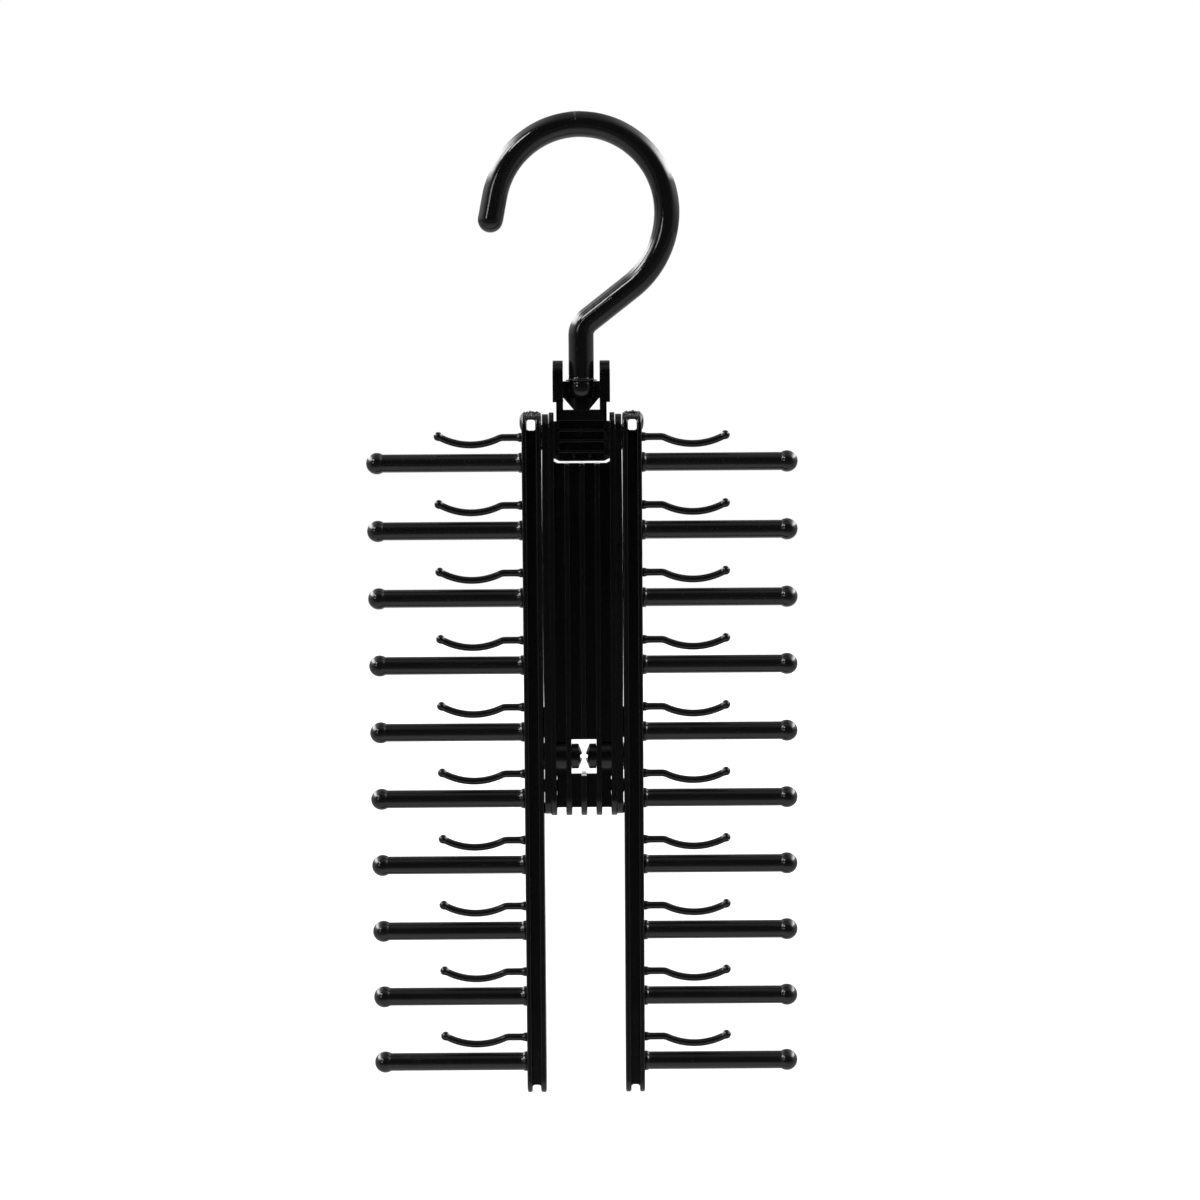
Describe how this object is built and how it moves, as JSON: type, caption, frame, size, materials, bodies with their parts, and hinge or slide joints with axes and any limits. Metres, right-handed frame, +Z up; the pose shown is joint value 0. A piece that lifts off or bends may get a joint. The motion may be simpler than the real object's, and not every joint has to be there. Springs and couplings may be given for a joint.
{
  "type": "tie hanger",
  "caption": "Hanging rack for ties and belts: a swivelling hook in a tilting yoke, a ribbed spine and two swinging side racks of ball-ended pegs with small hooks above them.",
  "frame": {"origin": "the underside of the hook's crown, where the rail bears, in the middle of the rod's thickness", "axes": "+Z up along the hook's stem and the spine, +X to the right as seen from the front, +Y to the back, along the rail"},
  "size_m": [0.1506, 0.0115, 0.3454],
  "materials": {
    "hook_black": "gloss",
    "frame_black": "satin",
    "rack_black": "satin",
    "peg_black": "gloss"
  },
  "bodies": {
    "hook": {"hook": "hook_black"},
    "yoke": {"yoke": "frame_black"},
    "spine": {"spine": "frame_black", "left_side_plate": "frame_black", "right_side_plate": "frame_black", "left_hinge_pin": "frame_black", "right_hinge_pin": "frame_black"},
    "left_rack": {"left_rack_bar": "rack_black", "left_pivot_stud": "frame_black", "left_tie_peg_01": "peg_black", "left_tie_peg_02": "peg_black", "left_tie_peg_03": "peg_black", "left_tie_peg_04": "peg_black", "left_tie_peg_05": "peg_black", "left_tie_peg_06": "peg_black", "left_tie_peg_07": "peg_black", "left_tie_peg_08": "peg_black", "left_tie_peg_09": "peg_black", "left_tie_peg_10": "peg_black", "left_belt_hook_01": "peg_black", "left_belt_hook_02": "peg_black", "left_belt_hook_03": "peg_black", "left_belt_hook_04": "peg_black", "left_belt_hook_05": "peg_black", "left_belt_hook_06": "peg_black", "left_belt_hook_07": "peg_black", "left_belt_hook_08": "peg_black", "left_belt_hook_09": "peg_black", "left_belt_hook_10": "peg_black"},
    "right_rack": {"right_rack_bar": "rack_black", "right_pivot_stud": "frame_black", "right_tie_peg_01": "peg_black", "right_tie_peg_02": "peg_black", "right_tie_peg_03": "peg_black", "right_tie_peg_04": "peg_black", "right_tie_peg_05": "peg_black", "right_tie_peg_06": "peg_black", "right_tie_peg_07": "peg_black", "right_tie_peg_08": "peg_black", "right_tie_peg_09": "peg_black", "right_tie_peg_10": "peg_black", "right_belt_hook_01": "peg_black", "right_belt_hook_02": "peg_black", "right_belt_hook_03": "peg_black", "right_belt_hook_04": "peg_black", "right_belt_hook_05": "peg_black", "right_belt_hook_06": "peg_black", "right_belt_hook_07": "peg_black", "right_belt_hook_08": "peg_black", "right_belt_hook_09": "peg_black", "right_belt_hook_10": "peg_black"}
  },
  "joints": [
    {"name": "hook_swivel", "type": "hinge", "parent": "hook", "child": "yoke", "pos_m": [0, 0, -0.08595], "axis": [0, 0, 1], "continuous": true},
    {"name": "yoke_tilt", "type": "hinge", "parent": "yoke", "child": "spine", "pos_m": [0, 0, -0.1033], "axis": [1, 0, 0], "range_deg": [-90, 90]},
    {"name": "left_rack_swing", "type": "hinge", "parent": "spine", "child": "left_rack", "pos_m": [-0.0128, 0, -0.2156], "axis": [1, 0, 0], "range_deg": [-45, 45]},
    {"name": "right_rack_swing", "type": "hinge", "parent": "spine", "child": "right_rack", "pos_m": [0.0128, 0, -0.2156], "axis": [1, 0, 0], "range_deg": [-45, 45]}
  ]
}
